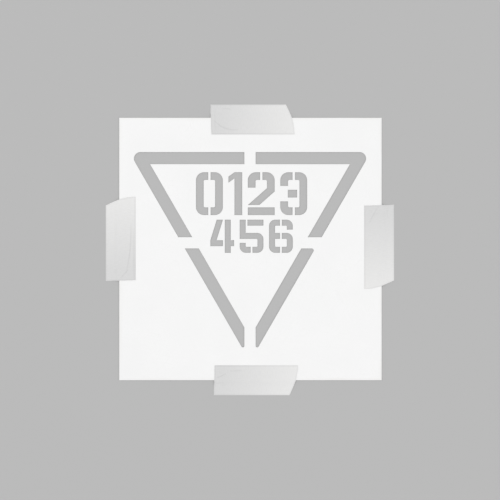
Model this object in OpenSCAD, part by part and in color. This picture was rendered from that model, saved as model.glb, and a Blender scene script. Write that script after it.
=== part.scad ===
// Road marking stencil: a flat plastic sheet that four strips of tape hold down on the ground.
// A triangle with its point down and two rows of plain numerals are cut through the sheet,
// and narrow bridges hold the parts that the cuts go round. A strip of tape is a paper backing
// with an adhesive coat. About half of its width is bonded to the sheet, and the other half
// is a flap on the ground, which peels up and folds about the sheet's edge.
// Millimetres, +Z up, +Y towards the top of the marking. The origin is on the ground,
// under the middle of the sheet.

/* [Sheet] */
// Side of the square sheet
sheet_side = 420; // [410:1:440]
// Thickness of the sheet
sheet_thick = 1.5; // [0.8:0.1:3]

/* [Triangle] */
// Side of the outer triangle, measured to its sharp corners
triangle_side = 387; // [376:1:398]
// How far the triangle stands to the right of the sheet's centre line
triangle_shift = -0.7; // [-3:0.1:3]
// Distance from the sheet's top edge to the triangle's top edge
triangle_margin = 54.8; // [45:0.2:62]
// Width of the triangle's band
band_width = 19.4; // [15:0.2:22]
// Outer radius of the two upper corners
corner_radius = 10.5; // [2:0.5:16]
// Width of the bridges across the band
bridge_width = 18; // [10:0.5:24]
// Distance from the triangle's top edge down to the side bridges
bridge_drop = 136.3; // [120:0.1:150]
// Radius of the two tips at the bottom
tip_radius = 2.5; // [0.5:0.1:4]
// Radius of the outer top corner of the lower right leg
leg_corner_radius = 3.3; // [0.5:0.1:5]

/* [Numerals] */
// Height of the upper row
upper_height = 68.6; // [62:0.2:72]
// Width of a wide numeral in the upper row
upper_width = 43; // [39:0.5:46]
// Width of the one in the upper row
one_width = 22; // [18:0.5:26]
// Height of the lower row
lower_height = 53; // [48:0.5:56]
// Width of a numeral in the lower row
lower_width = 38; // [35:0.5:41]
// Distance from the triangle's top edge down to the upper row
row_drop = 32.3; // [28:0.1:38]
// Gap between the two rows
row_gap = 7.4; // [5:0.1:10]
// Gap between neighbouring numerals
numeral_gap = 9; // [6:0.5:11]
// How far the rows stand to the right of the sheet's centre line
row_shift = 1.8; // [-3:0.1:3]
// Stroke, as a share of the row's height
stroke_share = 0.18; // [0.15:0.005:0.19]
// Bridge across a stroke, as a share of the row's height
tie_share = 0.055; // [0.04:0.005:0.08]
// Outer radius of a bent stroke, as a share of the row's height
bend_share = 0.187; // [0.05:0.005:0.2]
// Inner radius of a bent stroke, as a share of the row's height
inner_bend_share = 0.035; // [0.01:0.005:0.05]

/* [Tape] */
// Width of the tape
tape_width = 48; // [40:1:56]
// Length of a strip along its edge on the sheet
strip_length = 134; // [115:1:150]
// Where each strip starts, from the middle of its side of the sheet: top, right, bottom, left
strip_starts = [-63.5, -70.1, -58, -50.4]; // [-110:0.1:-20]
// How far each strip reaches past the sheet: top, right, bottom, left
strip_reaches = [21.4, 20.1, 24.2, 21.8]; // [16:0.1:28]
// How far the square end leans back along the strip, from its edge on the sheet to its outer edge
end_lean = 1.3; // [0:0.1:4]
// Where the torn end turns to a slant, across the tape from its edge on the sheet
tear_turn = 18.7; // [18.2:0.1:26]
// How far the slant runs back along the strip
tear_slant = 13.8; // [4:0.1:14]
// Radius of the turn in the torn end
tear_bend = 80; // [10:1:80]
// Thickness of the paper backing
backing_thick = 0.2; // [0.12:0.01:0.4]
// Thickness of the adhesive coat
adhesive_thick = 0.06; // [0.04:0.01:0.12]
// Distance over which a flap comes down from the sheet to the ground
flap_ramp = 10; // [3:0.5:12]

/* [Hidden] */
$fn = 64;

// The sides of the sheet. A strip's own frame has u along the sheet's edge and v outwards:
// it is turned to its side, and the bottom strip is the top one mirrored.
side_names = ["top", "right", "bottom", "left"];
side_turns = [0, -90, 0, 90];
side_flips = [0, 0, 1, 0];
layer_names = ["tape_backing", "tape_adhesive", "flap_backing", "flap_adhesive"];
function node_name(side, layer) = str(side_names[side], "_", layer_names[layer]);

// Clearance between the bonded half of a strip and its flap, at the fold
fold_gap = 0.05;
// Flat steps in a flap's way down to the ground
ramp_steps = 8;
// Spare length of a cutting shape past what it cuts
spare = 1;
// How much wider than its radius an arc is drawn
arc_slack = 0.002;

// The triangle's band, between its outer and inner sides, which stand 60 degrees steep
triangle_top = sheet_side / 2 - triangle_margin;
leg_across = band_width / cos(30);
bridge_top = triangle_top - bridge_drop;
bridge_bottom = bridge_top - bridge_width;
function outer_half(y) = triangle_side / 2 - (triangle_top - y) * tan(30);
function inner_half(y) = outer_half(y) - leg_across;
function outer_level(x) = triangle_top - (triangle_side / 2 - x) / tan(30);
function inner_level(x) = outer_level(x) + leg_across / tan(30);

// The rows of numerals
upper_base = triangle_top - row_drop - upper_height;
lower_base = upper_base - row_gap - lower_height;

// An outline is a list of corners, each [x, y, radius], counter-clockwise.
function toward(from, to) = (to - from) / norm(to - from);
function corner_point(corners, i) =
  let(corner = corners[(i + len(corners)) % len(corners)])
  [corner[0], corner[1]];
function unit_back(corners, i) = toward(corner_point(corners, i), corner_point(corners, i - 1));
function unit_ahead(corners, i) = toward(corner_point(corners, i), corner_point(corners, i + 1));
function is_inward(corners, i) = cross(unit_back(corners, i), unit_ahead(corners, i)) > 0;

// What lies between a sharp corner and the arc that rounds it. It runs on past the corner,
// and the arc is a hair wide of its tangent points, so that no two edges lie on each other.
module corner_web(corners, i) {
  radius = corners[i][2];
  back = unit_back(corners, i);
  ahead = unit_ahead(corners, i);
  half_angle = acos(back * ahead) / 2;
  run = radius / tan(half_angle);
  to_corner = -toward([0, 0], back + ahead) * radius / sin(half_angle);
  translate(corner_point(corners, i) - to_corner)
    difference() {
      polygon(2 * [[0, 0], to_corner + back * run, to_corner, to_corner + ahead * run]);
      circle(radius + arc_slack);
    }
}

// Rounds the corners that have a radius: the web is cut from an outward corner
// and added in an inward one.
module rounded_outline(corners) {
  bends = [for (i = [0:len(corners) - 1]) if (corners[i][2] > 0) i];
  difference() {
    union() {
      polygon([for (corner = corners) [corner[0], corner[1]]]);
      for (i = bends) if (is_inward(corners, i)) corner_web(corners, i);
    }
    for (i = bends) if (!is_inward(corners, i)) corner_web(corners, i);
  }
}

// The upper slot of the triangle's right half: half of its top bar and the upper part of its leg
module upper_slot() {
  bar_bottom = triangle_top - band_width;
  rounded_outline([
    [bridge_width / 2, triangle_top, 0],
    [bridge_width / 2, bar_bottom, 0],
    [inner_half(bar_bottom), bar_bottom, 0],
    [inner_half(bridge_top), bridge_top, 0],
    [outer_half(bridge_top), bridge_top, 0],
    [triangle_side / 2, triangle_top, corner_radius]
  ]);
}

// The lower slot of the triangle's right half: the leg below the side bridge
module lower_slot(top_radius) {
  rounded_outline([
    [bridge_width / 2, inner_level(bridge_width / 2), 0],
    [bridge_width / 2, outer_level(bridge_width / 2), tip_radius],
    [outer_half(bridge_bottom), bridge_bottom, top_radius],
    [inner_half(bridge_bottom), bridge_bottom, 0]
  ]);
}

module triangle_slots() {
  translate([triangle_shift, 0]) {
    upper_slot();
    lower_slot(leg_corner_radius);
    mirror([1, 0]) upper_slot();
    mirror([1, 0]) lower_slot(0);
  }
}

// The numerals stand on y = 0 from x = 0, in a cell of width w and height h.
// Each stroke is s wide, and each bridge across a stroke is t wide.
function stroke(h) = stroke_share * h;
function tie(h) = tie_share * h;
function bend(h) = bend_share * h;
function inner_bend(h) = inner_bend_share * h;

// Mirrors a shape within its cell, left to right or top to bottom
module turned_over(w) {
  translate([w, 0]) mirror([1, 0]) children();
}
module upside_down(h) {
  translate([0, h]) mirror([0, 1]) children();
}

// The left half of a closed ring, which may be less tall than the cell
module half_ring(w, h, tall) {
  s = stroke(h);
  middle = (w - tie(h)) / 2;
  rounded_outline([
    [middle, 0, 0],
    [middle, s, 0],
    [s, s, inner_bend(h)],
    [s, tall - s, inner_bend(h)],
    [middle, tall - s, 0],
    [middle, tall, 0],
    [0, tall, bend(h)],
    [0, 0, bend(h)]
  ]);
}

// The lower left end of an open ring, which stops at a height
module hook(w, h, stop) {
  s = stroke(h);
  middle = (w - tie(h)) / 2;
  rounded_outline([
    [middle, 0, 0],
    [middle, s, 0],
    [s, s, inner_bend(h)],
    [s, stop, 0],
    [0, stop, 0],
    [0, 0, bend(h)]
  ]);
}

module zero(w, h) {
  half_ring(w, h, h);
  turned_over(w) half_ring(w, h, h);
}

module one(w, h) {
  s = stroke(h);
  flag_drop = 0.1 * h;
  flag_thick = 0.8 * s;
  polygon([
    [w - s, 0],
    [w, 0],
    [w, h],
    [w - s, h],
    [0, h - flag_drop],
    [0, h - flag_drop - flag_thick],
    [w - s, h - flag_thick]
  ]);
}

module two(w, h) {
  s = stroke(h);
  t = tie(h);
  foot_across = 1.5 * s;
  waist = 0.55 * h;
  hook_stop = 0.36 * h;
  slope = (waist - s - t) / (w - foot_across);
  upside_down(h) hook(w, h, hook_stop);
  rounded_outline([
    [(w + t) / 2, h, 0],
    [(w + t) / 2, h - s, 0],
    [w - s, h - s, inner_bend(h)],
    [w - s, s + t + (w - s) * slope, 0],
    [0, s + t, 0],
    [foot_across, s + t, 0],
    [w, waist, 0],
    [w, h, bend(h)]
  ]);
  square([w, s]);
}

module three(w, h) {
  s = stroke(h);
  bar_start = 0.28 * w;
  hook_stop = 0.32 * h;
  hook(w, h, hook_stop);
  upside_down(h) hook(w, h, hook_stop);
  turned_over(w) half_ring(w, h, h);
  translate([bar_start, (h - s) / 2]) square([w - s - tie(h) - bar_start, s]);
}

module four(w, h) {
  s = stroke(h);
  bar_end = 0.14 * w;
  bar_base = 0.2 * h;
  bar_top = bar_base + s;
  post = w - bar_end - s;
  brace_across = 1.05 * s;
  brace_end = post - tie(h);
  polygon([
    [0, bar_base],
    [brace_end, bar_base],
    [brace_end, bar_top],
    [brace_across, bar_top],
    [brace_end, h],
    [brace_end - brace_across, h],
    [0, bar_top]
  ]);
  translate([post, 0]) square([s, h]);
  translate([post, bar_base]) square([s + bar_end, s]);
}

module five(w, h) {
  s = stroke(h);
  t = tie(h);
  bowl_top = 0.6 * h;
  hook_stop = 0.3 * h;
  hook(w, h, hook_stop);
  rounded_outline([
    [0, bowl_top - s, 0],
    [w - s, bowl_top - s, inner_bend(h)],
    [w - s, s, inner_bend(h)],
    [(w + t) / 2, s, 0],
    [(w + t) / 2, 0, 0],
    [w, 0, bend(h)],
    [w, bowl_top, bend(h)],
    [s, bowl_top, 0],
    [s, h, 0],
    [0, h, 0]
  ]);
  translate([s + t, h - s]) square([w - s - t, s]);
}

module six(w, h) {
  s = stroke(h);
  t = tie(h);
  bowl_top = 0.6 * h;
  hook_stop = 0.3 * h;
  half_ring(w, h, h);
  translate([0, bowl_top - s]) square([(w - t) / 2, s]);
  turned_over(w) upside_down(h) hook(w, h, hook_stop);
  turned_over(w) half_ring(w, h, bowl_top);
}

module upper_row() {
  step = upper_width + numeral_gap;
  row_width = 3 * step + one_width;
  translate([row_shift - row_width / 2, upper_base]) {
    zero(upper_width, upper_height);
    translate([step, 0]) one(one_width, upper_height);
    translate([step + one_width + numeral_gap, 0]) two(upper_width, upper_height);
    translate([2 * step + one_width + numeral_gap, 0]) three(upper_width, upper_height);
  }
}

module lower_row() {
  step = lower_width + numeral_gap;
  row_width = 2 * step + lower_width;
  translate([row_shift - row_width / 2, lower_base]) {
    four(lower_width, lower_height);
    translate([step, 0]) five(lower_width, lower_height);
    translate([2 * step, 0]) six(lower_width, lower_height);
  }
}

module stencil_sheet() {
  color("white")
    difference() {
      translate([-sheet_side / 2, -sheet_side / 2, 0]) cube([sheet_side, sheet_side, sheet_thick]);
      translate([0, 0, -spare])
        linear_extrude(sheet_thick + 2 * spare) {
          triangle_slots();
          upper_row();
          lower_row();
        }
    }
}

// Puts a shape made in a strip's own frame at its side of the sheet
module at_side(side) {
  mirror([0, side_flips[side], 0])
    rotate([0, 0, side_turns[side]])
      translate([strip_starts[side], sheet_side / 2, 0])
        children();
}

// The whole strip, laid flat: one end is nearly square and the other torn at a slant
module strip_outline(side) {
  outer = strip_reaches[side];
  inner = outer - tape_width;
  rounded_outline([
    [end_lean / 2, inner, 0],
    [strip_length, inner, 0],
    [strip_length, inner + tear_turn, tear_bend],
    [strip_length - tear_slant, outer, 0],
    [-end_lean / 2, outer, 0]
  ]);
}

// A layer of the half that is bonded to the sheet, a level above the sheet's face
module bonded_layer(side, level, thick) {
  at_side(side)
    translate([0, 0, sheet_thick + level])
      linear_extrude(thick)
        intersection() {
          strip_outline(side);
          translate([-spare, -tape_width]) square([strip_length + 2 * spare, tape_width]);
        }
}

// A face of the flap in profile: it comes down from the sheet in an S and runs on a level
// above the ground, past the end of the strip
function flap_face(level) = concat(
  [
    for (i = [0:ramp_steps])
      let(part = i / ramp_steps, fallen = part * part * (3 - 2 * part))
        [fold_gap + (flap_ramp - fold_gap) * part, level + sheet_thick * (1 - fallen)]
  ],
  [[tape_width, level]]
);
function reversed(list) = [for (i = [len(list) - 1:-1:0]) list[i]];

// A layer of the flap, between its under face and its upper face
module flap_layer(side, level, thick) {
  at_side(side)
    intersection() {
      linear_extrude(2 * sheet_thick) strip_outline(side);
      translate([-spare, 0, 0])
        rotate([90, 0, 90])
          linear_extrude(strip_length + 2 * spare)
            polygon(concat(flap_face(level), reversed(flap_face(level + thick))));
    }
}

module tape_backing(side) {
  color("whitesmoke") bonded_layer(side, adhesive_thick, backing_thick);
}

module tape_adhesive(side) {
  color("ivory") bonded_layer(side, 0, adhesive_thick);
}

module flap_backing(side) {
  color("whitesmoke") flap_layer(side, adhesive_thick, backing_thick);
}

module flap_adhesive(side) {
  color("ivory") flap_layer(side, 0, adhesive_thick);
}

stencil_sheet();
for (side = [0:3]) {
  tape_backing(side);
  tape_adhesive(side);
  flap_backing(side);
  flap_adhesive(side);
}
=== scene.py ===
# %% [markdown]
# # A road marking stencil
# The part is a square of white plastic with a marking cut through it: a triangle that stands on its
# point, and two rows of numerals. Four strips of paper tape hold it down while the marking is painted,
# and each strip has a flap past the sheet's edge that peels up off the ground.
# Everything could be drawn afresh here, but the part's solids already hold each size, place and joint.
# So they are loaded first and stay where they are, and a finer piece is then made in the place of each.

import math
from types import SimpleNamespace

import bmesh
import bpy
import numpy as np
from mathutils import Matrix, Vector, noise


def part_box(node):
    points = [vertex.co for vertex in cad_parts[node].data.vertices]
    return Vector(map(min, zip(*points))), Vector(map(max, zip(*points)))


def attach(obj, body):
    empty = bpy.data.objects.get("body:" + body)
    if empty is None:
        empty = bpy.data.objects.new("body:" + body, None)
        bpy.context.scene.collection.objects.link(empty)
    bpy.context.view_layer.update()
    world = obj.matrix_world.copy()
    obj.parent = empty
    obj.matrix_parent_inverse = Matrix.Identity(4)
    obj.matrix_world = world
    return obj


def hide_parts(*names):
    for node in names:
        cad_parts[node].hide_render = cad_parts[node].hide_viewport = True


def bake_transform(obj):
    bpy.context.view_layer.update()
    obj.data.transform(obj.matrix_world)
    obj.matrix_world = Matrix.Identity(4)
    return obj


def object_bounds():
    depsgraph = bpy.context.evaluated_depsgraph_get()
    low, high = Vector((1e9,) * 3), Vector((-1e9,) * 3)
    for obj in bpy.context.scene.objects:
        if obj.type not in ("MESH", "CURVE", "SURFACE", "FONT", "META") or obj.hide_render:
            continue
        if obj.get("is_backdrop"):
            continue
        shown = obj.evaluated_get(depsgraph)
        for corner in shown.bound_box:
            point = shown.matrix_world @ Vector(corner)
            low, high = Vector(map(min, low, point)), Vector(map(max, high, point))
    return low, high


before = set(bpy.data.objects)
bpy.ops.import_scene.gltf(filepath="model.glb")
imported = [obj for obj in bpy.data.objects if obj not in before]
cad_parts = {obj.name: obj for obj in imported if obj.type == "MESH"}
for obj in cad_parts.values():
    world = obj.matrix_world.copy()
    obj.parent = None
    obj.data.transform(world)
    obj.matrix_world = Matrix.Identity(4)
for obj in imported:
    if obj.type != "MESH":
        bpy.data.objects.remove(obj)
cad_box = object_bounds()

# %% [markdown]
# ## Sizes from the frame
# The sheet's own box says how far its edges stand from the middle and how thick it is. Those numbers
# could be typed in again, but they are read, so that they can't come to differ from the solid's. Each
# strip is described in a frame of its own, as a person laying tape would see it: one direction runs along
# the sheet's edge, from the strip's square end to its torn end, and the other outwards over that edge.

# %% Measure the sheet and name its sides
MM = 0.001
sheet_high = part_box("stencil_sheet")[1]
sheet_half = sheet_high.x
sheet_top = sheet_high.z
UP = Vector((0, 0, 1))
# for each side, the direction along the sheet's edge and the direction outwards over it
SIDES = {
    "top": (Vector((1, 0, 0)), Vector((0, 1, 0))),
    "right": (Vector((0, -1, 0)), Vector((1, 0, 0))),
    "bottom": (Vector((1, 0, 0)), Vector((0, -1, 0))),
    "left": (Vector((0, 1, 0)), Vector((-1, 0, 0))),
}
print(f"sheet: {2 * sheet_half / MM:.0f} mm square and {sheet_top / MM:.1f} mm thick")

# %% [markdown]
# ## The camera
# The photograph looks straight down. A camera with no rotation does so too, with +Y at the top of the
# picture. A camera without perspective would be the simplest, but a long lens keeps the view nearly as
# flat and still shows a sliver of the walls of the cuts, as a real lens does. Its height follows from how
# many pixels the sheet takes up, and it stands a little off centre because the sheet does so in the
# photograph.

# %% Hang the camera over the sheet
PHOTO_PIXELS = 500
SHEET_PIXELS = 262.4
SHEET_MIDDLE_PIXEL = (250.45, 249.0)
LENS_MM = 85
SENSOR_MM = 36
pixel = 2 * sheet_half / SHEET_PIXELS

camera_data = bpy.data.cameras.new("straight_down")
camera_data.lens = LENS_MM
camera_data.sensor_width = SENSOR_MM
camera = bpy.data.objects.new("straight_down", camera_data)
camera.location = (
    (PHOTO_PIXELS / 2 - SHEET_MIDDLE_PIXEL[0]) * pixel,
    (SHEET_MIDDLE_PIXEL[1] - PHOTO_PIXELS / 2) * pixel,
    sheet_top + PHOTO_PIXELS * pixel * LENS_MM / SENSOR_MM,
)
bpy.context.scene.collection.objects.link(camera)
bpy.context.scene.camera = camera
print(f"camera: {camera.location.z:.2f} m up, {pixel / MM:.2f} mm to a pixel")

# %% [markdown]
# ## Light
# The light is soft. Most of it comes evenly from all round, and two large lamps add the rest, one
# stronger than the other, so that creases and edges show. The lamps stand far off, so that one corner of
# the sheet is as bright as the next. Their power could be set by eye, but then a white sheet soon turns
# out too bright. A white surface renders as white when the light that falls on it, divided by pi, is 1.
# So each source is given a share of that level, and a lamp's power is worked out from its distance and
# slant. The shares add up to 1, and then a colour renders about as it is written.

# %% Light the sheet
WHITE = (1, 1, 1, 1)
SKY_SHARE = 0.72
KEY_SHARE, KEY_PLACE, KEY_SIZE = 0.16, (-6.0, 5.6, 9.8), 6.5
FILL_SHARE, FILL_PLACE, FILL_SIZE = 0.12, (7.4, -5.0, 8.2), 7.0


def soft_box(name, share, place, size):
    """A square lamp, aimed at the sheet, that gives it a share of the level at which white is white."""
    place = Vector(place)
    slant = place.z / place.length
    lamp = bpy.data.lights.new(name, "AREA")
    lamp.size = size
    lamp.energy = share * math.pi**2 * place.length_squared / slant
    holder = bpy.data.objects.new(name, lamp)
    holder.location = place
    holder.rotation_euler = place.to_track_quat("Z", "Y").to_euler()
    bpy.context.scene.collection.objects.link(holder)
    return lamp.energy


sky = bpy.data.worlds.new("studio_sky")
sky.use_nodes = True
sky.node_tree.nodes["Background"].inputs["Color"].default_value = WHITE
sky.node_tree.nodes["Background"].inputs["Strength"].default_value = SKY_SHARE
bpy.context.scene.world = sky
key_power = soft_box("key_box", KEY_SHARE, KEY_PLACE, KEY_SIZE)
fill_power = soft_box("fill_box", FILL_SHARE, FILL_PLACE, FILL_SIZE)
bpy.context.scene.view_settings.view_transform = "Standard"
print(f"light: sky {SKY_SHARE}, key lamp {key_power:.0f} W, fill lamp {fill_power:.0f} W")

# %% [markdown]
# ## Building materials from nodes
# A finish is a small tree of nodes. It could be drawn by hand in the shader editor, but a script that
# builds it can be read and run again. Written out in full such a script is long, so one helper adds a
# node: a socket that is given another node's output is linked to it, and any other value is set.


# %% Add a node
def add_node(tree, kind, sockets=None, **settings):
    """A new node, with its settings made first because they decide which sockets it has."""
    node = tree.nodes.new(kind)
    for name, value in settings.items():
        setattr(node, name, value)
    for socket, value in (sockets or {}).items():
        if isinstance(value, bpy.types.NodeSocket):
            tree.links.new(value, node.inputs[socket])
        else:
            node.inputs[socket].default_value = value
    return node


print("made: add_node")

# %% [markdown]
# ## Values and colours
# Most steps in a finish are one of three: arithmetic on two values, a smooth way from one value to
# another, and a mix of two colours. Each could be set up where it is needed, but a short name for each
# makes a finish read like a recipe. The colours of this part are all nearly neutral, so a colour is
# given as a grey with a little warmth, and not as three numbers.

# %% Mix values and colours
# a Mix node has sockets of one name for each kind of value, so the ones for colours go by their number
MIX_SHARE, MIX_FIRST, MIX_SECOND, MIX_RESULT = 0, 6, 7, 2
WARM_GREEN = 0.3


def arithmetic(tree, operation, first, second=0.0):
    """One step of arithmetic on two values, such as ADD, MULTIPLY or MINIMUM."""
    return add_node(tree, "ShaderNodeMath", {0: first, 1: second}, operation=operation).outputs[0]


def ramped(tree, value, low, high, to_low=0.0, to_high=1.0):
    """A value that goes smoothly from to_low to to_high as another goes from low to high."""
    sockets = {"Value": value, "From Min": low, "From Max": high, "To Min": to_low, "To Max": to_high}
    return add_node(tree, "ShaderNodeMapRange", sockets, interpolation_type="SMOOTHSTEP").outputs[0]


def mixed(tree, share, first, second):
    """The colour that goes from first to second as share goes from 0 to 1."""
    sockets = {MIX_SHARE: share, MIX_FIRST: first, MIX_SECOND: second}
    return add_node(tree, "ShaderNodeMix", sockets, data_type="RGBA").outputs[MIX_RESULT]


def grey(level, warmth=0.0):
    """A grey that gives back a share of the light. Warmth takes out some of its blue and less green."""
    return (level, level * (1 - WARM_GREEN * warmth), level * (1 - warmth), 1)


print("a grey of 0.8 with a warmth of 0.2:", [round(part, 3) for part in grey(0.8, 0.2)])

# %% [markdown]
# ## Effects that the finishes share
# Plastic, paper and adhesive differ in colour and gloss, but their detail is made of the same few
# effects: a grain that may be drawn out in one direction, a band along an edge, and small specks. They
# could be built again in each material. Here each is a node group with named sockets, which every finish
# uses at its own sizes. A group starts with what it takes and ends with the one value that it gives.

# %% Start and end a group
VALUE, VECTOR = "NodeSocketFloat", "NodeSocketVector"


def new_group(name, takes, gives):
    """A group that is still empty, and the values that it takes, by name."""
    group = bpy.data.node_groups.new(name, "ShaderNodeTree")
    for label, kind, start in takes:
        group.interface.new_socket(label, in_out="INPUT", socket_type=kind).default_value = start
    group.interface.new_socket(gives, in_out="OUTPUT", socket_type=VALUE)
    return group, add_node(group, "NodeGroupInput").outputs


def close_group(group, gives, value):
    """Ends a group with the value that it puts out, and prints its sockets."""
    add_node(group, "NodeGroupOutput", {gives: value})
    print("group:", group.name, [socket.name for socket in group.interface.items_tree])
    return group


print("made: new_group and close_group")

# %% [markdown]
# ## Grain
# Crepe ridges, fibres, hairline scuffs and cloudy unevenness are all grain: patches that are long in one
# direction and short in another. A noise texture has patches of one size, so the place on the surface is
# divided by the wanted size first, in metres. Noise seldom comes near its two ends, so the part of it
# that is in use is spread out to go from 0 to 1.

# %% Make the grain
GRAIN_DETAIL = 2.0
GRAIN_LOW, GRAIN_HIGH = 0.25, 0.75


def make_stretched_grain():
    """Noise from 0 to 1 whose grains have a size of their own in each direction."""
    takes = [("Place", VECTOR, (0, 0, 0)), ("Size", VECTOR, (MM, MM, MM))]
    group, given = new_group("stretched_grain", takes, "Grain")
    sockets = {0: given["Place"], 1: given["Size"]}
    cell = add_node(group, "ShaderNodeVectorMath", sockets, operation="DIVIDE").outputs[0]
    sockets = {"Vector": cell, "Scale": 1.0, "Detail": GRAIN_DETAIL}
    field = add_node(group, "ShaderNodeTexNoise", sockets).outputs[0]
    return close_group(group, "Grain", ramped(group, field, GRAIN_LOW, GRAIN_HIGH))


stretched_grain = make_stretched_grain()

# %% [markdown]
# ## A band along an edge
# An edge looks unlike the middle: it is handled, or dusty and given a painted shadow, or torn. Such a
# band could be painted on, but here it is a mask that fades with the distance from the edge, so that one
# group serves all three. Each finish measures that distance in its own way.


# %% Make the band
def make_edge_band():
    """A mask that is 1 on an edge and fades to 0 at a width from it."""
    takes = [("Distance", VALUE, 0.0), ("Width", VALUE, MM)]
    group, given = new_group("edge_band", takes, "Mask")
    return close_group(group, "Mask", ramped(group, given["Distance"], 0.0, given["Width"], 1.0, 0.0))


edge_band = make_edge_band()

# %% [markdown]
# ## Specks
# Flecks in paper and grit on adhesive are small dots that lie anywhere. They could be scattered as tiny
# meshes, which would be far too many. A cell texture divides the surface into cells and gives each a
# middle and a random colour: the middle becomes the dot, and the colour decides whether it is there.

# %% Make the specks
SPECK_CORE, SPECK_EDGE = 0.12, 0.3


def make_specks():
    """A mask of small round specks, one at most in each cell, in a share of the cells."""
    takes = [("Place", VECTOR, (0, 0, 0)), ("Cell", VALUE, MM), ("Share", VALUE, 0.1)]
    group, given = new_group("specks", takes, "Mask")
    scale = arithmetic(group, "DIVIDE", 1.0, given["Cell"])
    cells = add_node(group, "ShaderNodeTexVoronoi", {"Vector": given["Place"], "Scale": scale}).outputs
    chance = add_node(group, "ShaderNodeSeparateColor", {0: cells["Color"]}).outputs[0]
    chosen = arithmetic(group, "LESS_THAN", chance, given["Share"])
    dot = ramped(group, cells["Distance"], SPECK_CORE, SPECK_EDGE, 1.0, 0.0)
    return close_group(group, "Mask", arithmetic(group, "MULTIPLY", chosen, dot))


specks = make_specks()

# %% [markdown]
# ## Starting a finish
# A finish is a material with a shader, and the groups are placed in it with values of their own. Sizes of
# grain are easier to judge in millimetres than in metres, so they are given that way and turned into
# metres here.


# %% Place groups in a material
def new_finish(name):
    """A material, its tree and its shader."""
    material = bpy.data.materials.new(name)
    material.use_nodes = True
    return material, material.node_tree, material.node_tree.nodes["Principled BSDF"]


def effect(tree, group, **sockets):
    """A group's output, in a material."""
    return add_node(tree, "ShaderNodeGroup", sockets, node_tree=group).outputs[0]


def grain(tree, place, size_mm):
    """Stretched grain of a size in millimetres along each direction."""
    return effect(tree, stretched_grain, Place=place, Size=[size * MM for size in size_mm])


print("made: new_finish, effect and grain")

# %% [markdown]
# ## Adding patterns up
# A finish is a sum of such effects: some change its colour, some its gloss, and some its relief. How much
# each of them counts is kept beside the finish as a short list, by name. Relief could be given as a
# strength and set by eye, but a real height in millimetres looks right from any distance.


# %% Weigh patterns and give them height
def weighted(tree, patterns, weights):
    """The sum of the patterns that have a weight, each times that weight."""
    total = None
    for name, weight in weights.items():
        term = arithmetic(tree, "MULTIPLY", patterns[name], weight)
        total = term if total is None else arithmetic(tree, "ADD", total, term)
    return total


def relief(tree, shader, patterns, heights_mm):
    """Bump from the patterns that have a height, in millimetres."""
    height = weighted(tree, patterns, {name: tall * MM for name, tall in heights_mm.items()})
    bump = add_node(tree, "ShaderNodeBump", {"Height": height, "Distance": 1.0}).outputs[0]
    tree.links.new(bump, shader.inputs["Normal"])


print("made: weighted and relief")

# %% [markdown]
# ## The floor
# The stencil lies on the ground to be used. Here that is a plain pale floor, wide enough to reach the
# horizon from a low camera, and darker than the sheet so that the cut marking reads. It needs no more
# than one face, and it is marked as the stage, because it isn't a piece of the part.

# %% Lay the floor
FLOOR_HALF = 20.0
FLOOR_TONE = 0.50
FLOOR_ROUGHNESS = 0.9
floor_mesh = bpy.data.meshes.new("floor")
floor_corners = [(-FLOOR_HALF, -FLOOR_HALF, 0), (FLOOR_HALF, -FLOOR_HALF, 0)]
floor_corners += [(FLOOR_HALF, FLOOR_HALF, 0), (-FLOOR_HALF, FLOOR_HALF, 0)]
floor_mesh.from_pydata(floor_corners, [], [(0, 1, 2, 3)])
floor = bpy.data.objects.new("floor", floor_mesh)
floor_finish, _, floor_shader = new_finish("pale_floor")
floor_shader.inputs["Base Color"].default_value = grey(FLOOR_TONE)
floor_shader.inputs["Roughness"].default_value = FLOOR_ROUGHNESS
floor_mesh.materials.append(floor_finish)
bpy.context.scene.collection.objects.link(floor)
floor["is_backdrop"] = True
print("floor: tone", FLOOR_TONE)

# %% [markdown]
# ## Where the plastic differs
# Three places on the sheet look unlike the rest: the walls of the cuts, which the cutter leaves matt, the
# rim, where it is handled, and the fine hairline scuffs that come from stacking. Each could have a
# material of its own, but those would meet in hard lines, so each is a mask in one finish. The surface's
# own direction tells a wall from a face, and the distance from the middle gives the rim. A scuff is a
# very long grain of which only the highest part is kept. It is turned a few ways, since a sheet slides in
# more than one direction.

# %% Mask the walls, the rim and the scuffs
# how far up a surface faces, from 0 for upright to 1 for level, where it counts as wall and as face
WALL_FACING, FACE_FACING = 0.3, 0.8
RIM_WIDTH = 7 * MM
SCUFF_GRAIN, SCUFF_START = (34, 0.4, 34), 0.82
SCUFF_TURNS = [math.radians(turn) for turn in (14, 71, 128)]


def wall_mask(tree, facing):
    """A mask that is 1 on the walls of the cuts and 0 on the faces."""
    upward = add_node(tree, "ShaderNodeSeparateXYZ", {0: facing}).outputs[2]
    return ramped(tree, arithmetic(tree, "ABSOLUTE", upward), WALL_FACING, FACE_FACING, 1.0, 0.0)


def rim_mask(tree, place):
    """A mask that is 1 on the sheet's outer edge and fades inwards."""
    across = add_node(tree, "ShaderNodeSeparateXYZ", {0: place}).outputs
    sideways = arithmetic(tree, "ABSOLUTE", across[0])
    lengthways = arithmetic(tree, "ABSOLUTE", across[1])
    from_middle = arithmetic(tree, "MAXIMUM", sideways, lengthways)
    to_rim = arithmetic(tree, "SUBTRACT", sheet_half, from_middle)
    return effect(tree, edge_band, Distance=to_rim, Width=RIM_WIDTH)


def scuff_mask(tree, place, patches):
    """A mask of hairlines that run in a few directions and show more in some patches than in others."""
    hairlines = 0.0
    for turn in SCUFF_TURNS:
        turned = add_node(tree, "ShaderNodeVectorRotate", {"Vector": place, "Angle": turn}).outputs[0]
        one_way = ramped(tree, grain(tree, turned, SCUFF_GRAIN), SCUFF_START, 1.0)
        hairlines = arithmetic(tree, "MAXIMUM", hairlines, one_way)
    return arithmetic(tree, "MULTIPLY", hairlines, patches)


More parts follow.
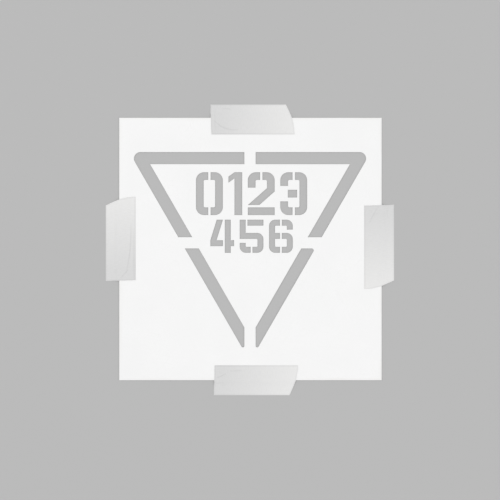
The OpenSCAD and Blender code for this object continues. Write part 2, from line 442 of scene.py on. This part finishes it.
print(f"masks: walls, a rim {RIM_WIDTH / MM:.0f} mm wide, scuffs in {len(SCUFF_TURNS)} directions")

# %% [markdown]
# ## The white plastic
# The sheet is extruded plastic: white, with a satin face that is never quite flat. A single white would
# look like a hole in the picture, so its tone and its gloss drift a little from place to place, and the
# rim and the scuffs are a shade darker and duller. The walls of the cuts are darker still, and finely
# ribbed from face to face, as a cutter leaves them.

# %% Mix the white plastic
CLOUD_GRAIN, SATIN_GRAIN, RIB_GRAIN = (55, 55, 55), (0.8, 0.8, 0.8), (0.4, 0.4, 12)
FACE_TONES = grey(0.945), grey(0.96)
RIM_TONE, SCUFF_TONE, WALL_TONE = grey(0.92, 0.02), grey(0.89, 0.01), grey(0.84, 0.02)
PLASTIC_ROUGHNESS = 0.42
PLASTIC_DULLNESS = {"cloud": 0.10, "scuff": 0.12, "rim": 0.08, "wall": 0.22}
PLASTIC_RELIEF_MM = {"satin": 0.006, "cloud": 0.12, "ribs": 0.03}


def white_plastic():
    """The finish of the whole sheet, faces and walls alike."""
    material, tree, shader = new_finish("white_plastic")
    surface = add_node(tree, "ShaderNodeTexCoord").outputs
    place = surface["Object"]
    wall = wall_mask(tree, surface["Normal"])
    rim = rim_mask(tree, place)
    cloud = grain(tree, place, CLOUD_GRAIN)
    scuff = scuff_mask(tree, place, cloud)
    patterns = {
        "wall": wall,
        "rim": rim,
        "cloud": cloud,
        "scuff": scuff,
        "satin": grain(tree, place, SATIN_GRAIN),
        "ribs": arithmetic(tree, "MULTIPLY", wall, grain(tree, place, RIB_GRAIN)),
    }
    face = mixed(tree, cloud, *FACE_TONES)
    face = mixed(tree, arithmetic(tree, "MULTIPLY", rim, cloud), face, RIM_TONE)
    face = mixed(tree, scuff, face, SCUFF_TONE)
    tree.links.new(mixed(tree, wall, face, WALL_TONE), shader.inputs["Base Color"])
    duller = weighted(tree, patterns, PLASTIC_DULLNESS)
    tree.links.new(arithmetic(tree, "ADD", duller, PLASTIC_ROUGHNESS), shader.inputs["Roughness"])
    relief(tree, shader, patterns, PLASTIC_RELIEF_MM)
    return material


plastic_finish = white_plastic()
print("sheet finish:", plastic_finish.name)

# %% [markdown]
# ## The sheet's outlines
# A sheet that is cut with a knife or a router is a flat drawing with a thickness. That drawing could be
# made again here, but the solid holds it already: the lines where its upper face ends are the sheet's own
# outline and one closed line for each cut. Reading them off keeps the sheet exactly as it was designed.

# %% Read the outlines off the solid
JOIN_DISTANCE = 0.001 * MM
FACES_UP = 0.9


def rim_of_upper_face(shell):
    """For each point on the rim of the upper face, the point that follows it there."""
    follows = {}
    for face in shell.faces:
        if face.normal.z > FACES_UP:
            for corner in face.loops:
                if corner.link_loop_radial_next.face.normal.z < FACES_UP:
                    follows[corner.vert] = corner.link_loop_next.vert
    return follows


def face_outlines(solid):
    """The closed lines round a flat solid's upper face, each as a list of places in the plane."""
    shell = bmesh.new()
    shell.from_mesh(solid.data)
    bmesh.ops.remove_doubles(shell, verts=shell.verts, dist=JOIN_DISTANCE)
    follows = rim_of_upper_face(shell)
    outlines = []
    while follows:
        first, ahead = follows.popitem()
        outlines.append([first.co.xy.copy()])
        while ahead in follows:
            outlines[-1].append(ahead.co.xy.copy())
            ahead = follows.pop(ahead)
    shell.free()
    return outlines


outlines = face_outlines(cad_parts["stencil_sheet"])
print("outlines:", len(outlines), "with", sum(len(line) for line in outlines), "points")

# %% [markdown]
# ## The sheet as a drawing
# A real cut edge is never razor sharp, and the thin light line along it is what makes a flat sheet look
# like a thing. A bevel on the solid's long thin triangles tears, so the sheet is drawn as one flat curve
# instead: Blender fills it, leaves the cuts open, gives it a thickness and rounds its edges. The curve
# is drawn in by as much as its rounding stands out, so the sheet keeps its size.

# %% Draw the sheet flat
EASED_EDGE = 0.2 * MM
EASING_STEPS = 2


def flat_drawing(closed_lines):
    """A filled curve with a thickness and eased edges, whose middle is at height 0."""
    drawing = bpy.data.curves.new("sheet_drawing", "CURVE")
    drawing.dimensions = "2D"
    drawing.fill_mode = "BOTH"
    drawing.extrude = sheet_top / 2 - EASED_EDGE
    drawing.bevel_depth = EASED_EDGE
    drawing.bevel_resolution = EASING_STEPS
    drawing.offset = -EASED_EDGE
    for places in closed_lines:
        line = drawing.splines.new("POLY")
        line.points.add(len(places) - 1)
        for point, place in zip(line.points, places):
            point.co = (*place, 0, 1)
        line.use_cyclic_u = True
    return drawing


sheet_drawing = flat_drawing(outlines)
print("drawing:", len(sheet_drawing.splines), "closed lines, edges eased by", EASED_EDGE / MM, "mm")

# %% [markdown]
# ## A clean mesh
# A filled curve turns into a mesh whose faces, walls and rounded edges only lie beside each other, with
# long slivers in the fill. Left that way it would open at the seams and catch the light in streaks. So
# the points that coincide are joined, the slivers are evened out, and all faces are turned outwards.


# %% Clean up a mesh
def even_triangles(shell):
    """Turns the edges between triangles, so that a filled face has as few slivers as it can."""
    triangles = [face for face in shell.faces if len(face.verts) == 3]
    between = [edge for edge in shell.edges if all(len(face.verts) == 3 for face in edge.link_faces)]
    bmesh.ops.beautify_fill(shell, faces=triangles, edges=between, method="ANGLE")


def joined_mesh(mesh):
    """Joins the faces of a mesh that lie edge to edge, and turns them all outwards."""
    shell = bmesh.new()
    shell.from_mesh(mesh)
    bmesh.ops.remove_doubles(shell, verts=shell.verts, dist=JOIN_DISTANCE)
    even_triangles(shell)
    bmesh.ops.recalc_face_normals(shell, faces=shell.faces)
    shell.to_mesh(mesh)
    shell.free()
    return mesh


print("made: even_triangles and joined_mesh")

# %% [markdown]
# ## The sheet
# The drawing is now turned into a mesh, because only a mesh can be cleaned up and handed over, and it is
# raised until it stands on the ground. It is shaded smooth, so that the eased edges look round, but the
# sharp corners of the cuts stay sharp. It then takes the place of the plain solid.

# %% Cut the sheet
SHARP_CORNER = math.radians(25)

drawn = bpy.data.objects.new("sheet_drawing", sheet_drawing)
bpy.context.scene.collection.objects.link(drawn)
sheet_mesh = bpy.data.meshes.new_from_object(drawn.evaluated_get(bpy.context.evaluated_depsgraph_get()))
bpy.data.objects.remove(drawn)
sheet_mesh.transform(Matrix.Translation(UP * sheet_top / 2))
joined_mesh(sheet_mesh).shade_smooth()
sheet_mesh.set_sharp_from_angle(angle=SHARP_CORNER)
sheet_mesh.materials.clear()
sheet_mesh.materials.append(plastic_finish)
cut_sheet = bpy.data.objects.new("cut_sheet", sheet_mesh)
bpy.context.scene.collection.objects.link(cut_sheet)
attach(cut_sheet, "sheet")
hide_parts("stencil_sheet")
print("sheet:", len(sheet_mesh.polygons), "faces")

# %% [markdown]
# ## The strips of tape
# A strip is torn off a roll, so its width is the roll's and its long edges are straight. Half of it is
# stuck to the sheet and the other half to the ground. The sizes of a strip repeat the solids' own. Where
# it lies could be repeated too, but that differs from side to side, so it is read from each solid's box.

# %% Find the strips
TAPE_WIDTH = 48 * MM
STRIP_LENGTH = 134 * MM


def span_along(node, direction):
    """Where a solid starts and ends along a direction."""
    low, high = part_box(node)
    return sorted((low.dot(direction), high.dot(direction)))


def strip_corner(side):
    """Where a strip starts along its side, and how far its inner edge lies outwards of the sheet's."""
    along, outward = SIDES[side]
    start = span_along(f"{side}_tape_backing", along)[1] - STRIP_LENGTH
    inner = span_along(f"{side}_tape_backing", outward)[0] - sheet_half
    return start, inner


for side in SIDES:
    start, inner = strip_corner(side)
    reach = inner + TAPE_WIDTH
    print(f"{side} strip: from {start / MM:.1f} mm along its side, {reach / MM:.1f} mm past the sheet")

# %% [markdown]
# ## The torn ends
# One end of a strip is nearly square, and the other runs off at a slant after a long bend, as a tear does
# once it turns. Both wander a little and are frayed. Such an outline could be traced point by point. A
# formula needs only a few sizes: an arc that runs into a straight line makes the tear, and two noises,
# one long and one short, make its edge stray.

# %% Tear the ends
END_LEAN = 1.3 * MM  # of the square end, over the tape's width
TEAR_TURN = 18.7 * MM  # from the inner edge to where the tear turns
TEAR_SLANT = 13.8 * MM  # how far it then runs back
TEAR_BEND = 80 * MM  # radius of the turn
SWAY_LENGTH, SWAY_DEPTH, SWAY_LAYER = 9 * MM, 0.45 * MM, 0.5
FRAY_LENGTH, FRAY_DEPTH, FRAY_LAYER = 1.7 * MM, 0.3 * MM, 7.5


def tear_back(inward):
    """How far the torn end lies behind the strip's longest point, across the tape from its inner edge."""
    angle = math.atan2(TEAR_SLANT, TAPE_WIDTH - TEAR_TURN)
    bend_start = TEAR_TURN - TEAR_BEND * math.tan(angle / 2)
    bend_end = bend_start + TEAR_BEND * math.sin(angle)
    around = np.clip(inward, bend_start, bend_end) - bend_start
    in_bend = TEAR_BEND - np.sqrt(TEAR_BEND**2 - around**2)
    return in_bend + np.clip(inward - bend_end, 0, None) * math.tan(angle)


def wander(distances, seed):
    """How far a torn edge strays, at each distance along it."""
    strays = []
    for distance in distances.flat:
        sway = noise.noise(Vector((distance / SWAY_LENGTH, seed, SWAY_LAYER)))
        fray = noise.noise(Vector((distance / FRAY_LENGTH, seed, FRAY_LAYER)))
        strays.append(SWAY_DEPTH * sway + FRAY_DEPTH * fray)
    return np.reshape(strays, distances.shape)


print(f"torn end: {tear_back(TAPE_WIDTH) / MM:.1f} mm shorter at the strip's outer edge")

# %% [markdown]
# ## How the tape lies
# Tape laid by hand is never flat. It comes down from the sheet to the ground in a soft S, and the hand
# that smooths it leaves low lumps. These could be bump in the finish, but they are shapes, which show
# from the side and in the meshes, so they are heights of the strip's own points.

# %% Lay the tape down
FLAP_RAMP = 10 * MM
LUMP_LENGTH, LUMP_HEIGHT = 13 * MM, 0.06 * MM


def come_down(outwards):
    """Height of the tape's under face as it leaves the sheet and comes down to the ground."""
    part = np.clip(outwards / FLAP_RAMP, 0, 1)
    return sheet_top * (1 - part**2 * (3 - 2 * part))


def lumps(along, outwards, seed):
    """The unevenness left by a hand that smooths the tape down."""
    places = zip(along.ravel() / LUMP_LENGTH, outwards.ravel() / LUMP_LENGTH)
    heights = [max(0.0, noise.noise(Vector((*place, seed)))) for place in places]
    return LUMP_HEIGHT * np.array(heights).reshape(along.shape)


print(f"way down: {come_down(FLAP_RAMP / 2) / MM:.2f} mm high after {FLAP_RAMP / 2 / MM:.0f} mm")

# %% [markdown]
# ## Creases
# A thumb that pushes the tape down leaves faint creases, most of them near the square end. Each is a low
# ridge along a bowed line, which fades out at both its ends. A crease could be sculpted by hand, but a
# line with a height is easier to move and comes out the same each time. Places are in millimetres along
# the strip from its square end and outwards from the sheet's edge, and so are the bow and the height.

# %% Crease the tape
CREASE_HALF = 1.0 * MM
# start, end, bow and height of each crease
CREASES = {
    "top": [
        ((4, -3), (46, -19), -6.0, 0.26),
        ((17, 15), (34, 13), 0.8, 0.18),
        ((7.5, -25), (7, 17), 0.7, 0.12),
    ],
    "right": [
        ((2, -5), (30, -20), -1.0, 0.26),
        ((11, -3), (15, -14), 0.6, 0.12),
        ((2, 9), (19, 10), -0.5, 0.16),
    ],
    "bottom": [
        ((3, -4), (19, -11), 0.8, 0.26),
        ((25, -15), (44, -16), 0.5, 0.18),
        ((2, 6), (15, 4), -0.5, 0.12),
    ],
    "left": [
        ((12, -11), (92, -18.5), -2.8, 0.26),
        ((0, -23.5), (82, -23), 0.5, 0.16),
        ((3, -1), (18, -14.5), -0.6, 0.20),
    ],
}


def crease_lift(along, outwards, crease):
    """How far one crease lifts the tape, at each point of the strip."""
    start, end, bow, height = crease
    first, last = np.array(start) * MM, np.array(end) * MM
    run = last - first
    length = np.linalg.norm(run)
    share = ((along - first[0]) * run[0] + (outwards - first[1]) * run[1]) / length**2
    aside = ((outwards - first[1]) * run[0] - (along - first[0]) * run[1]) / length
    fade = np.clip(4 * share * (1 - share), 0, 1)
    return height * MM * np.sqrt(fade) * np.exp(-(((aside - bow * MM * fade) / CREASE_HALF) ** 2))


print("creases:", {side: len(lines) for side, lines in CREASES.items()})

# %% [markdown]
# ## A grid of points
# The tape's shape is worked out at the points of a grid, in rows along the strip. An even grid would be
# too coarse at the fold or too heavy elsewhere. So the rows stand closest where the tape leaves the sheet
# and comes down, because the flap folds there, and the columns crowd towards the frayed ends.

# %% Space the rows and columns
FLAT_STEP = 0.5 * MM
FOLD_STEP = 0.3 * MM
FOLD_MARGIN = 0.9 * MM
COLUMNS = 110
END_CROWDING = 0.6


def steps_between(low, high, step):
    """Even places from low to high, about a step apart."""
    return np.linspace(low, high, max(2, round((high - low) / step) + 1))


def tape_rows(inner, outer):
    """Distances from the sheet's edge at which a row of points lies, close together at the fold."""
    fold_start, fold_end = -FOLD_MARGIN, FLAP_RAMP + FOLD_MARGIN
    stretches = [
        (inner, fold_start, FLAT_STEP),
        (fold_start, fold_end, FOLD_STEP),
        (fold_end, outer, FLAT_STEP),
    ]
    return np.unique(np.concatenate([steps_between(*stretch) for stretch in stretches]))


def column_shares():
    """Places along a strip, from 0 to 1, that stand closer together towards its two ends."""
    even = np.linspace(0, 1, COLUMNS)
    return even - END_CROWDING * np.sin(2 * math.pi * even) / (2 * math.pi)


for side in SIDES:
    inner = strip_corner(side)[1]
    print(f"{side} strip: {len(tape_rows(inner, inner + TAPE_WIDTH))} rows, {COLUMNS} columns")

# %% [markdown]
# ## One skin for a layer of tape
# A layer is thin and closed: an upper face, an under face and a narrow rim between them. A modifier could
# thicken a single face, but the fold needs a finished mesh, and a layer is thinner at its torn ends. So
# two grids of points lie one over the other, and a row of faces joins them all the way round.

# %% Close a skin
SHARP_RIM = math.radians(40)


def closed_skin(name, under, over):
    """A mesh from two grids of points, rows by columns, that lie one over the other."""
    rows, columns = under.shape[:2]
    lower = np.arange(rows * columns).reshape(rows, columns)
    upper = lower + lower.size
    quads = [[grid[:-1, :-1], grid[:-1, 1:], grid[1:, 1:], grid[1:, :-1]] for grid in (lower, upper)]
    faces = [np.stack(corners, -1).reshape(-1, 4) for corners in quads]
    rim = np.concatenate([lower[0], lower[1:, -1], lower[-1, -2::-1], lower[-2:0:-1, 0]])
    ahead = np.roll(rim, -1)
    faces.append(np.stack([rim, ahead, ahead + lower.size, rim + lower.size], -1))
    points = np.concatenate([under.reshape(-1, 3), over.reshape(-1, 3)])
    mesh = bpy.data.meshes.new(name)
    mesh.from_pydata(points.tolist(), [], np.concatenate(faces).tolist())
    joined_mesh(mesh).shade_smooth()
    mesh.set_sharp_from_angle(angle=SHARP_RIM)
    return mesh


print("made: closed_skin, with edges sharp from", round(math.degrees(SHARP_RIM)), "degrees")

# %% [markdown]
# ## Where the paper differs
# The backing is crepe paper: fine ridges run across the strip, which let it stretch, and short fibres and
# a few flecks show in it. Its edges and ends are darker, partly with dust and partly with a painted
# shadow, its creases are darker with painted shade, and a tear leaves a fringe of bare fibres. A pattern
# could be laid over the paper from above, but it would swim when the flap folds. So the finish reads from
# the mesh where on the strip a point is, how creased it is and how far from an end.

# %% Draw the paper's patterns
RIDGE_GRAIN, FIBRE_GRAIN, FRINGE_GRAIN = (0.9, 7, 1), (0.5, 0.35, 1), (1.2, 0.25, 1)
# width of the darker band along the paper's edges and ends, part dust and part painted shadow
EDGE_DUST_AND_SHADOW_WIDTH, FRINGE_WIDTH = 3.2 * MM, 0.9 * MM
FLECK_CELL, FLECK_SHARE = 2.6 * MM, 0.05


def mesh_note(tree, name, output):
    """A value that the mesh holds for each of its points."""
    return add_node(tree, "ShaderNodeAttribute", attribute_name=name).outputs[output]


def paper_patterns(tree, place, crosswise):
    """The patterns of the paper, by name."""
    to_end = mesh_note(tree, "to_end", "Fac")
    to_far_edge = arithmetic(tree, "SUBTRACT", TAPE_WIDTH, crosswise)
    to_long_edge = arithmetic(tree, "MINIMUM", crosswise, to_far_edge)
    to_edge = arithmetic(tree, "MINIMUM", to_long_edge, to_end)
    torn = effect(tree, edge_band, Distance=to_end, Width=FRINGE_WIDTH)
    return {
        # the band along the edges and ends, darkened for dust and as a painted shadow
        "edge": effect(tree, edge_band, Distance=to_edge, Width=EDGE_DUST_AND_SHADOW_WIDTH),
        # how creased the paper is, which darkens it as painted shade
        "crease": mesh_note(tree, "crease", "Fac"),
        "ridges": grain(tree, place, RIDGE_GRAIN),
        "fibres": grain(tree, place, FIBRE_GRAIN),
        "fleck": effect(tree, specks, Place=place, Cell=FLECK_CELL, Share=FLECK_SHARE),
        "fringe": arithmetic(tree, "MULTIPLY", torn, grain(tree, place, FRINGE_GRAIN)),
    }


print(f"paper: ridges {RIDGE_GRAIN[0]} mm apart, a fringe {FRINGE_WIDTH / MM} mm wide")

# %% [markdown]
# ## The paper
# The paper's tone is a soft grey at the square end and goes nearly white towards the torn end. The
# patterns darken it by a few hundredths each, and the fringe is bare and pale. It is matt everywhere, a
# little more so where fibres stand up. One colour for the whole strip would be simpler, but the slow
# change along it is what tells the tape from the sheet at one end and lets it go at the other.

# %% Mix the paper
PAPER_TONES = grey(0.735), grey(0.865, 0.01)
FADE_START = 0.12 * STRIP_LENGTH
# the dark tone that flecks, dust, painted shade in the creases and a painted shadow along the edges mix
# towards
DUST_AND_SHADE_TONE, FRINGE_TONE = grey(0.0), grey(0.92)
# how much each pattern darkens the paper: edge is dust and a painted shadow, crease is painted shade
PAPER_DARKENING = {"ridges": 0.04, "fibres": 0.02, "edge": 0.07, "crease": 0.09, "fleck": 0.06}
PAPER_ROUGHNESS = (0.74, 0.88)
PAPER_RELIEF_MM = {"ridges": 0.07, "fibres": 0.02, "fringe": 0.05}


def crepe_paper():
    """The finish of the tape's backing."""
    material, tree, shader = new_finish("crepe_paper")
    place = mesh_note(tree, "strip_place", "Vector")
    lengthwise, crosswise, _ = add_node(tree, "ShaderNodeSeparateXYZ", {0: place}).outputs
    patterns = paper_patterns(tree, place, crosswise)
    sockets = {"Value": lengthwise, "From Min": FADE_START, "From Max": STRIP_LENGTH}
    fade = add_node(tree, "ShaderNodeMapRange", sockets).outputs[0]
    tone = mixed(tree, fade, *PAPER_TONES)
    # darker with flecks and dust, with painted shade in the creases and with a painted shadow along the
    # edges
    tone = mixed(tree, weighted(tree, patterns, PAPER_DARKENING), tone, DUST_AND_SHADE_TONE)
    tone = mixed(tree, patterns["fringe"], tone, FRINGE_TONE)
    tree.links.new(tone, shader.inputs["Base Color"])
    rough = ramped(tree, patterns["fibres"], 0.0, 1.0, *PAPER_ROUGHNESS)
    tree.links.new(rough, shader.inputs["Roughness"])
    relief(tree, shader, patterns, PAPER_RELIEF_MM)
    return material


paper_finish = crepe_paper()
print("tape finish:", paper_finish.name)

# %% [markdown]
# ## The adhesive
# Under the paper is a thin rubbery coat, which only shows when a flap is peeled up. It is cream in
# colour and shines a little. It could be a plain cream, but it is so thin that the ridges of the paper
# show through it, it is not equally thick everywhere, and its face has picked up a little grit from the
# ground. These come from the same groups as the paper's patterns.

# %% Mix the adhesive
COAT_CLOUD_GRAIN = (17, 9, 1)
GRIT_CELL, GRIT_SHARE = 0.9 * MM, 0.02
COAT_TONES = grey(0.75, 0.19), grey(0.80, 0.15)
RIDGE_TONE, RIDGE_SHARE = grey(0.70, 0.22), 0.3
GRIT_TONE = grey(0.42, 0.10)
COAT_ROUGHNESS = 0.30
COAT_DULLNESS = {"ridges": 0.10, "cloud": 0.08, "grit": 0.4}
COAT_RELIEF_MM = {"ridges": 0.04, "grit": 0.06}


def tacky_coat():
    """The finish of the adhesive under the paper."""
    material, tree, shader = new_finish("tacky_coat")
    place = mesh_note(tree, "strip_place", "Vector")
    patterns = {
        "ridges": grain(tree, place, RIDGE_GRAIN),
        "cloud": grain(tree, place, COAT_CLOUD_GRAIN),
        "grit": effect(tree, specks, Place=place, Cell=GRIT_CELL, Share=GRIT_SHARE),
    }
    tone = mixed(tree, patterns["cloud"], *COAT_TONES)
    tone = mixed(tree, arithmetic(tree, "MULTIPLY", patterns["ridges"], RIDGE_SHARE), tone, RIDGE_TONE)
    tone = mixed(tree, patterns["grit"], tone, GRIT_TONE)
    tree.links.new(tone, shader.inputs["Base Color"])
    duller = weighted(tree, patterns, COAT_DULLNESS)
    tree.links.new(arithmetic(tree, "ADD", duller, COAT_ROUGHNESS), shader.inputs["Roughness"])
    relief(tree, shader, patterns, COAT_RELIEF_MM)
    return material


coat_finish = tacky_coat()
print("adhesive finish:", coat_finish.name)

# %% [markdown]
# ## The shape of a strip
# The paper and the coat share one shape. Each row of the grid runs from the square end to the torn end,
# and a point's height is the sum of the way down, the creases, the lumps and a slight curl at the ends,
# where the tear also leaves the tape thin. The shape is kept flat, in the strip's own frame, because
# every rule about it is simple there. It is set in its place afterwards.

# %% Shape a strip
CURL_LENGTH, CURL_HEIGHT = 2.2 * MM, 0.22 * MM
FEATHER_LENGTH, FEATHER_LOSS = 0.7 * MM, 0.65


def strip_shape(side, seed, inset):
    """A strip's grid of points, in its own frame, and what happens at each of them."""
    start, inner = strip_corner(side)
    rows = tape_rows(inner + inset, inner + TAPE_WIDTH - inset)[:, None]
    first = END_LEAN * (0.5 - (rows - inner) / TAPE_WIDTH) + wander(rows, seed) + inset
    last = STRIP_LENGTH - tear_back(rows - inner) + wander(rows, seed + 1) - inset
    lengthwise = first + (last - first) * column_shares()
    outwards = np.broadcast_to(rows, lengthwise.shape)
    creased = sum(crease_lift(lengthwise, outwards, crease) for crease in CREASES[side])
    to_end = np.minimum(lengthwise - first, last - lengthwise)
    curl = CURL_HEIGHT * np.exp(-to_end / CURL_LENGTH)
    return SimpleNamespace(
        flat_x=start + lengthwise,
        flat_y=sheet_half + outwards,
        height=come_down(outwards) + creased + curl + lumps(lengthwise, outwards, seed),
        thinning=1 - FEATHER_LOSS * np.exp(-to_end / FEATHER_LENGTH),
        strip_place=np.stack([lengthwise, outwards - inner, np.zeros_like(to_end)], -1),
        crease=np.clip(creased / creased.max(), 0, 1),
        to_end=to_end,
    )


print(f"ends: curled up by {CURL_HEIGHT / MM} mm, {FEATHER_LOSS:.0%} of the thickness lost")

# %% [markdown]
# ## A layer in its place
# The strip's three directions, along the edge, outwards and up, carry its shape to its side of the sheet.
# The object could be turned instead, but points that are already in the part's frame are easier to bend
# with the flap. The mesh keeps three notes for the finish at every point: its place on the strip, how
# creased it is, and how far it is from an end.


# %% Set a layer in place
def note_on_mesh(mesh, name, kind, field, grid):
    """Stores a value for each point of a skin, the same on its under and its upper face."""
    notes = mesh.attributes.new(name, kind, "POINT")
    notes.data.foreach_set(field, np.concatenate([grid, grid]).astype(np.float32).ravel())


def lay_layer(name, side, shape, level, thick):
    """One layer of a strip, a level above what the tape lies on."""
    along, outward = SIDES[side]
    flat = shape.flat_x[..., None] * np.array(along) + shape.flat_y[..., None] * np.array(outward)
    under = flat + (shape.height + level)[..., None] * np.array(UP)
    over = under + (thick * shape.thinning)[..., None] * np.array(UP)
    mesh = closed_skin(name, under, over)
    note_on_mesh(mesh, "strip_place", "FLOAT_VECTOR", "vector", shape.strip_place)
    # how creased each point is, which the paper's finish turns into painted shade
    note_on_mesh(mesh, "crease", "FLOAT", "value", shape.crease)
    note_on_mesh(mesh, "to_end", "FLOAT", "value", shape.to_end)
    piece = bpy.data.objects.new(name, mesh)
    bpy.context.scene.collection.objects.link(piece)
    return piece


print("made: note_on_mesh and lay_layer")

# %% [markdown]
# ## The skin across the sheet's edge
# Where the solids are cut in two at the sheet's edge, the skins run on in one piece. A skin could be cut
# there too, but a fold would then open as a gap. Each skin's place is set into its points, and the two
# solids that it stands for are hidden.


def fold_at_edge(piece, side, *solids):
    """Sets a piece's place into its points, and hides the solids that it stands for."""
    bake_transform(piece)
    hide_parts(*[f"{side}_{solid}" for solid in solids])


# %% [markdown]
# ## Laying the strips
# The four strips could be modelled one by one, but they are alike in all but their place, their creases
# and the stray of their ends. So one loop lays them, each with a seed of its own. The coat goes down
# first, drawn in a little from the paper's edges, and the paper on top of it. The paper is a soft sheet.

# %% Lay the four strips
COAT_INSET = 0.25 * MM
FIRST_SEED, SEED_STEP = 0.61, 3.37


def thickness(node):
    """How thick a flat solid is."""
    low, high = span_along(node, UP)
    return high - low


for number, side in enumerate(SIDES):
    seed = FIRST_SEED + SEED_STEP * number
    coat_thick = thickness(f"{side}_tape_adhesive")
    paper_thick = thickness(f"{side}_tape_backing")
    coat = lay_layer(f"{side}_tape_coat", side, strip_shape(side, seed, COAT_INSET), 0.0, coat_thick)
    coat.data.materials.append(coat_finish)
    fold_at_edge(coat, side, "tape_adhesive", "flap_adhesive")

    paper = lay_layer(f"{side}_tape_paper", side, strip_shape(side, seed, 0.0), coat_thick, paper_thick)
    paper.data.materials.append(paper_finish)
    fold_at_edge(paper, side, "tape_backing", "flap_backing")
    print(f"{side} strip: {len(paper.data.polygons)} faces of paper, {len(coat.data.polygons)} of coat")

# %% [markdown]
# ## Size
# The finer pieces may not change the part's size. That could be checked by eye, but a tenth of a
# millimetre doesn't show, so the box of the solids and the box of what now shows are printed side by
# side.

# %% Print the two boxes
visual_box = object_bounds()
boxes = {"cad": cad_box, "visual": visual_box}
for name, (low, high) in boxes.items():
    print(name, "box in mm:", [round(length / MM, 1) for length in high - low])
